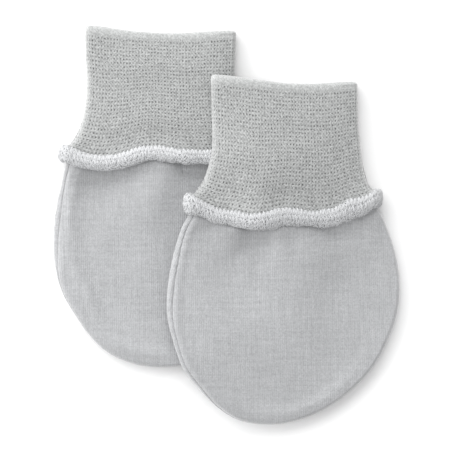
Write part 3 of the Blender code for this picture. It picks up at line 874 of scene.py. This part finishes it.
def flatRing(left, right, half, count):
    # A flat tube's section from its front's left end: x, z, and 1 on the front down to 0 on the back.
    turnLeft, turnRight = cuff.sideTurns
    fromLeft, fromRight = half * turnLeft - left, right - half * turnRight
    across = fromRight - fromLeft
    leftLength, rightLength = [math.pi / 2 * half * (1 + turn) for turn in (turnLeft, turnRight)]
    at = np.arange(count) / count * (2 * across + leftLength + rightLength)
    backwards = at >= across + rightLength
    here = np.where(backwards, at - across - rightLength, at)
    turned = math.pi * np.clip((here - across) / np.where(backwards, leftLength, rightLength), 0, 1)
    reach = half * np.where(backwards, turnLeft, turnRight)
    x = np.where(here < across, fromLeft + here, fromRight + reach * np.sin(turned))
    x = np.where(backwards, fromRight + fromLeft - x, x)
    height = np.cos(turned) * np.where(backwards, -1, 1)
    return x, half * height, (1 + height) / 2


def cuffFace(mitten, off, outerRows, turnRows, innerRows):
    # A face of the folded tube as rings: its outer layer from the hem, the turn and its inner layer,
    # and the distance of each along the cloth from the middle of the turn.
    count = cuff.wales * cuff.columnsPerWale
    widths = cuffHalfWidths(mitten, 0.0)
    x, _, _ = flatRing(*widths, outerHalf, count)
    foldUp = through(mitten.top["x"], mitten.top["up"], x) - foldRadius - halfWall
    clear = cuff.pastRoll
    shortened = 1 - clear / cloth.cuffLength
    halfTurn = math.pi / 2 * (foldRadius + off)
    rings, distances = [], []
    for share in np.linspace(1, 0, outerRows):
        along = share * shortened
        front = through(cuffLevels["along"], cuffLevels["front"], along)
        back = max(through(cuffLevels["along"], cuffLevels["back"], along), halfWall)
        here = [half + off for half in cuffHalfWidths(mitten, along)]
        x, z, frontness = flatRing(*here, (front - back) / 2 + off, count)
        pressed = (rollSizes.front - rollFront(mitten, x)) * frontness * ramp(share, *cuff.pressedFrom)
        endsUp = hemUp(mitten, x, frontness > 0.5) + clear
        up = foldUp + (endsUp - foldUp) * share
        across = np.clip((2 * x - here[1] + here[0]) / sum(here), -1, 1)
        fade = smooth((1 - share) / cuff.crownFade)
        crown = frontness * (cuff.crown * (1 - np.abs(across) ** cuff.crownPower) - cuff.flatter)
        crown = crown * smooth(share / cuff.crownFade) * fade
        thinner = cuff.thinner * smooth(1 - (here[1] - x) / cuff.thinnerFrom)
        crown = crown - frontness * thinner * fade
        crown = crown + frontness * hemLift(mitten, x) * ramp(share, *cuff.liftedFrom)
        rings.append(np.column_stack([x, up, (front + back) / 2 + z - pressed + crown]))
        distances.append(halfTurn + share * (cloth.cuffLength - clear))
    for turn in np.linspace(0, math.pi, turnRows + 2)[1:]:
        inwards = foldRadius - (foldRadius + off) * math.cos(turn)
        x, z, _ = flatRing(*[half - inwards for half in widths], outerHalf - inwards, count)
        rings.append(np.column_stack([x, foldUp + (foldRadius + off) * math.sin(turn), cuffMiddle + z]))
        distances.append(halfTurn * (1 - 2 * turn / math.pi))
    for share in np.linspace(0, 1, innerRows)[1:]:
        inwards = 2 * foldRadius + off
        along = min(share * shortened, cloth.narrowAlong)
        here = [half - inwards for half in cuffHalfWidths(mitten, along)]
        x, z, frontness = flatRing(*here, innerHalf - off, count)
        neck = cloth.neckUp + cloth.gap
        up = foldUp + (neck - foldUp) * share
        rings.append(np.column_stack([x, up, cuffMiddle + z]))
        distances.append(-halfTurn - share * (cloth.cuffLength - neck))
    return np.array(rings), np.array(distances)


def ribRelief(mitten, distances):  # height of the stitches on the outer face
    wale = np.arange(cuff.wales * cuff.columnsPerWale) / cuff.columnsPerWale
    course = distances / cuff.course
    ridge = 0.5 + 0.5 * np.cos(2 * math.pi * wale)[None, :]
    hole = 0.5 - 0.5 * np.cos(2 * math.pi * course)[:, None]
    chance = np.random.default_rng(mitten.seed)
    stitches = chance.uniform(*cuff.pitDepths, (int(np.ptp(course)) + 3, cuff.wales))
    depth = stitches[np.floor(course - course.min()).astype(int)][:, np.floor(wale).astype(int)]
    onLayer = ramp(distances, *cuff.pitsFrom)[:, None]
    relief = cuff.waleHeight * ridge - cuff.pitDepth * (1 - ridge) * hole * depth * onLayer
    return relief * ramp(distances, *cuff.reliefFrom)[:, None]


def addCuff(mitten):
    outer, outerAt = cuffFace(mitten, halfWall, *cuff.outside)
    inner, innerAt = cuffFace(mitten, -halfWall, *cuff.inside)
    outer = outer + ringNormals(outer) * ribRelief(mitten, outerAt)[..., None]
    at = np.concatenate([outerAt, innerAt[::-1]]) / cuff.course
    rings = inPlace(mitten, np.concatenate([outer, inner[::-1]]))
    wales = np.arange(rings.shape[1] + 1) / cuff.columnsPerWale
    uvs = np.stack(np.broadcast_arrays(wales[None, :], at[:, None]), axis=-1)
    name = f"{mitten.name}_cuff"
    return finishPiece(layGrid(f"{name}_rib", rings, uvs, joinEnds=True), ribMaterial, "rib_knit", name)


# overlocked hems

overlock = SimpleNamespace(
    corePoints=420,
    coreSides=24,
    coreShrink=1.02,
    coreLumps=0.15,
    wobble=0.045,  # the roll's width is uneven by this share
    endReach=4.2,  # its ends are thicker over this
    lowest=0.36,  # height of the lowest threads' middle
    toothUp=0.2,  # how far a tooth's tip lies up the rib
    toothOut=0.8,  # and out from the middle of its wall
    # two tiers of threads bind each stitch: how far each leans along the hem, in stitches, and the
    # angle where it starts on the roll, how far it goes on, and how high it stands
    toothLeans=(-0.5, 0.1, 0.7),
    tooth=(28, 46, 0.12),
    beadLeans=(-0.9, -0.2, 0.5),
    bead=(72, 38, 0.14),
    leanUneven=(0.6, 1.3),
    lowerTurns=(96, 116, 136, 158, 182, 204),  # angles of the threads below them
    lowerSlant=(-1.6, 3.0),
    lift=0.12,
    sunk=-0.02,
    threadHalves=(0.33, 0.26),  # half thicknesses of white thread and of its darker copy with painted shade
    tuftHalves=(0.15, 0.15),
    fibre=0.028,
    tufts=2600,
    tuftTurns=(30, 215),
    whiteAbove=112,  # tufts are white up to about this angle, and below it take the darker copy: painted shade on the roll's lower side
    fibres=3200,
    fibreTurns=(-5, 205),
    fibreLengths=(0.15, 0.6),
)


def rollLine(mitten, count):  # its centre, half sizes and outward direction
    front, back = cuffLevels["front"][-1], cuffLevels["back"][-1]
    widths = cuffHalfWidths(mitten, 1.0)
    x, _, frontness = flatRing(*widths, (front - back) / 2, count)
    sides = zip(mitten.rollEnds, (-widths[0], widths[1]))
    thicker = 1 + sum([end * bell((x - place) / overlock.endReach) for end, place in sides])
    pressed = (rollSizes.front - rollFront(mitten, x)) * frontness
    halves = rollSizes.back, rollSizes.side, rollSizes.front
    halfHeight = through([0, 0.5, 1], halves, frontness) - pressed
    z = back + (front - back) * frontness - pressed + hemLift(mitten, x) * frontness
    centre = np.column_stack([x, hemUp(mitten, x, frontness > 0.5) - rollSizes.below, z])
    way = np.roll(centre, -1, axis=0) - np.roll(centre, 1, axis=0)
    out = np.column_stack([-way[:, 2], np.zeros(len(way)), way[:, 0]])
    out = out / np.linalg.norm(out, axis=1)[:, None]
    halfHeight *= 1 + (thicker - 1) * (frontness > 0.2)
    places = zip(*mitten.rollWider.values())
    wider = sum(more * bell((x - middle) / reach) for middle, reach, more in places)
    waves = np.sin(1.15 * x + 2 * np.sin(0.31 * x)) + np.sin(0.67 * x + mitten.seed)
    halfWidth = (mitten.rollHalfWidth + wider * frontness) * thicker * (1 + overlock.wobble * waves)
    return {"centre": centre, "high": halfHeight, "wide": halfWidth, "out": out}


def rollAt(line, at):  # the line at a share of the way round the hem
    step = (at % 1) * len(line["centre"])
    low = int(step) % len(line["centre"])
    high, share = (low + 1) % len(line["centre"]), step - int(step)
    return [rows[low] * (1 - share) + rows[high] * share for rows in line.values()]


def rise(angle):  # height on the roll's section, from 1 at its top to -1
    return math.copysign(abs(math.sin(angle)) ** rollSizes.flatTop, math.sin(angle))


def onRoll(line, at, turn, raised=0.0):  # turn goes from the rib's side over the top, in degrees
    centre, high, wide, out = rollAt(line, at)
    angle = math.radians(turn)
    upwards = np.array([0, (wide + raised) * math.cos(angle), 0])
    point = centre + out * (high + raised) * rise(angle) + upwards
    point[2] = max(point[2], overlock.lowest)
    return point


def onRib(line, at, above):  # on the rib's outer face, above the roll
    centre, high, wide, out = rollAt(line, at)
    return centre + out * overlock.toothOut + np.array([0, wide + above, 0])


def addThreads(mitten, kind, splines, thickness, tone, sides=1):  # splines of (points, radii)
    name = f"{mitten.name}_hem_{kind}"
    data = bpy.data.curves.new(name, "CURVE")
    data.dimensions = "3D"
    data.bevel_depth = thickness / 1000
    data.bevel_resolution = sides
    data.use_fill_caps = True
    for points, radii in splines:
        spline = data.splines.new("POLY")
        spline.points.add(len(points) - 1)
        placed = inPlace(mitten, np.array(points)[None])[0]
        spline.points.foreach_set("co", np.column_stack([placed, np.ones(len(placed))]).reshape(-1))
        spline.points.foreach_set("radius", radii)
    piece = bpy.data.objects.new(name, data)
    bpy.context.scene.collection.objects.link(piece)
    bpy.ops.object.select_all(action="DESELECT")
    piece.select_set(True)
    bpy.context.view_layer.objects.active = piece
    bpy.ops.object.convert(target="MESH")
    piece = bpy.context.object
    bpy.ops.object.shade_smooth()
    piece.name = name
    return finishPiece(piece, mitten.threads[tone], "hem_thread")


def addCore(mitten, line, chance):
    turns = np.linspace(0, 2 * math.pi, overlock.coreSides, endpoint=False)
    shrink = overlock.coreShrink
    centre = line["centre"]
    rings = np.array([centre + line["out"] * (line["high"] * shrink * rise(t))[:, None] for t in turns])
    rings[..., 1] += line["wide"] * shrink * np.cos(turns)[:, None]
    lumps = chance.normal(0, overlock.coreLumps, rings.shape[:2])
    rings += (rings - centre) / np.linalg.norm(rings - centre, axis=2)[..., None] * lumps[..., None]
    rings[..., 2] = np.maximum(rings[..., 2], 0)
    uvs = np.zeros((rings.shape[0], rings.shape[1] + 1, 2))
    core = layGrid(f"{mitten.name}_hem_core", inPlace(mitten, rings), uvs, joinEnds=True)
    # the core takes the darker thread: painted shade in the gaps between the threads
    return finishPiece(core, mitten.threads[1], "hem_thread", f"{mitten.name}_hem_roll")


def stitchWraps(line, chance):  # threads that bind each wale
    white, pale = [], []
    pitch = 1 / cuff.wales

    def bind(tier, at, share, lift):
        turn, span, high = tier
        return onRoll(line, at, turn + span * share, lift + high * math.sin(share * math.pi))

    for i in range(cuff.wales):
        start = (i + 0.5) * pitch
        tip = onRib(line, start, overlock.toothUp * chance.uniform(0.3, 1.2))
        for lean in overlock.toothLeans:
            end = start + lean * pitch * chance.uniform(*overlock.leanUneven)
            path = [tip + chance.uniform(-0.15, 0.15, 3)]
            lift = chance.uniform(0, overlock.lift)
            for share in (0.35, 0.7, 1.0):
                at = start + (end - start) * share + chance.normal(0, 0.0004)
                path.append(bind(overlock.tooth, at, share, lift))
            white.append((path, [0.75, 1.05, 1.1, 0.7]))
        # the beads leaning back and the threads below them take the darker copy: painted shade on the roll's
        # lower side
        for lean in overlock.beadLeans:
            begin = start + (0.5 + chance.uniform(-0.2, 0.2)) * pitch
            way = lean * pitch * chance.uniform(*overlock.leanUneven)
            lift = chance.uniform(overlock.sunk, overlock.lift)
            path = [bind(overlock.bead, begin + way * share, share, lift) for share in (0.0, 0.35, 0.7, 1.0)]
            (white if lean > 0 else pale).append((path, [0.8, 1.1, 1.1, 0.8]))
        for shift in (0.0, 0.5):
            at = start + (shift + chance.uniform(-0.2, 0.2)) * pitch
            slant = chance.uniform(*overlock.lowerSlant) * pitch
            path = []
            for turn in overlock.lowerTurns:
                lift = chance.uniform(overlock.sunk, overlock.lift)
                path.append(onRoll(line, at + (turn - 130) / 120 * slant, turn, lift))
            pale.append((path, [0.7, 1.1, 1.25, 1.1, 0.9, 0.6]))
    return white, pale


def looseTufts(line, chance):  # short soft ends of thread all over the roll
    white, pale = [], []
    for i in range(overlock.tufts):
        at, turn = chance.uniform(0, 1), chance.uniform(*overlock.tuftTurns)
        slide, span = chance.normal(0, 0.006), chance.uniform(2, 26)
        raised = chance.uniform(0.0, 0.16)
        path = []
        for share in (0, 0.35, 0.7, 1):
            high = raised + 0.2 * math.sin(share * math.pi)
            path.append(onRoll(line, at + (share - 0.5) * slide, turn + (share - 0.5) * span, high))
        # tufts low on the roll take the darker copy: painted shade
        isWhite = turn + chance.normal(0, 14) < overlock.whiteAbove
        (white if isWhite else pale).append((path, [0.5, 1.1, 1.0, 0.5]))
    return white, pale


def looseFibres(line, chance):
    fibres = []
    for i in range(overlock.fibres):
        at, turn = chance.uniform(0, 1), chance.uniform(*overlock.fibreTurns)
        length = chance.uniform(*overlock.fibreLengths)
        path = [
            onRoll(line, at + chance.normal(0, 0.004) * step, turn + chance.normal(0, 12) * step, raised)
            for step, raised in ((0, 0), (1, length * 0.7), (2, length))
        ]
        fibres.append((path, [1.0, 0.9, 0.6]))
    return fibres


def addHem(mitten):
    chance = np.random.default_rng(mitten.seed + 10)
    line = rollLine(mitten, overlock.corePoints)
    pieces = [addCore(mitten, line, chance)]
    for kind, halves, paths in (
        ("thread", overlock.threadHalves, stitchWraps(line, chance)),
        ("tufts", overlock.tuftHalves, looseTufts(line, chance)),
    ):
        # the second tone is the darker copy of the white thread: painted shade
        for i, tone in enumerate(("white", "pale")):
            pieces.append(addThreads(mitten, f"{tone}_{kind}", paths[i], halves[i], i))
    return pieces + [addThreads(mitten, "fibres", looseFibres(line, chance), overlock.fibre, 0, sides=0)]


sheets = SimpleNamespace(panel=(0.084, 0.088), cuff=(0.108, 0.084))  # what was cut, in metres

for mitten in (under, over):
    back = addPanel(mitten, "hand_back", -1)
    front = addPanel(mitten, "hand_front", 1)
    tube = addCuff(mitten)
    hem = addHem(mitten)
    print(mitten.name, "mitten made")


# floor, light and camera

studio = SimpleNamespace(
    floorSize=6.0,
    floorUp=-0.00005,
    floorColour=(0.96, 0.96, 0.96, 1),
    worldStrength=0.67,
    cameraUp=1.2,
    viewWidth=0.1548,  # what the view spans at the height of the cloth
    clothUp=0.004,
    viewCentre=(-0.00064, 0.00052),
    sensor=36,
    lights={  # place, size and power
        "keyLight": ((-0.6, 1.7, 1.35), 2.4, 50),
        "leftLight": ((-1.9, 0.1, 0.9), 1.6, 27),
        "topLight": ((-0.1, 0.1, 1.9), 1.4, 3),
    },
)

bpy.ops.object.select_all(action="DESELECT")
bpy.ops.mesh.primitive_plane_add(size=studio.floorSize, location=(0, 0, studio.floorUp))
floor = bpy.context.object
floor.name = "floor"
floorMaterial, _, shader = startMaterial("paleFloor", 0.9, 0.0)
shader.inputs["Base Color"].default_value = studio.floorColour
floor.data.materials.append(floorMaterial)

for name, (place, size, power) in studio.lights.items():
    bpy.ops.object.light_add(type="AREA", location=place)
    light = bpy.context.object
    light.name = name
    light.data.size, light.data.energy = size, power
    x, y, z = place
    light.rotation_euler = (math.atan2(np.hypot(x, y), z), 0, math.atan2(-y, -x) - math.pi / 2)

world = bpy.data.worlds.new("paleRoom")
world.use_nodes = True
background = world.node_tree.nodes["Background"].inputs
background["Color"].default_value = (1, 1, 1, 1)
background["Strength"].default_value = studio.worldStrength
bpy.context.scene.world = world
bpy.context.scene.view_settings.view_transform = "Standard"

bpy.ops.object.camera_add(location=(*studio.viewCentre, studio.cameraUp))
camera = bpy.context.object
camera.data.sensor_width = studio.sensor
camera.data.lens = studio.sensor * (studio.cameraUp - studio.clothUp) / studio.viewWidth
bpy.context.scene.camera = camera
print("floor, light and camera made")
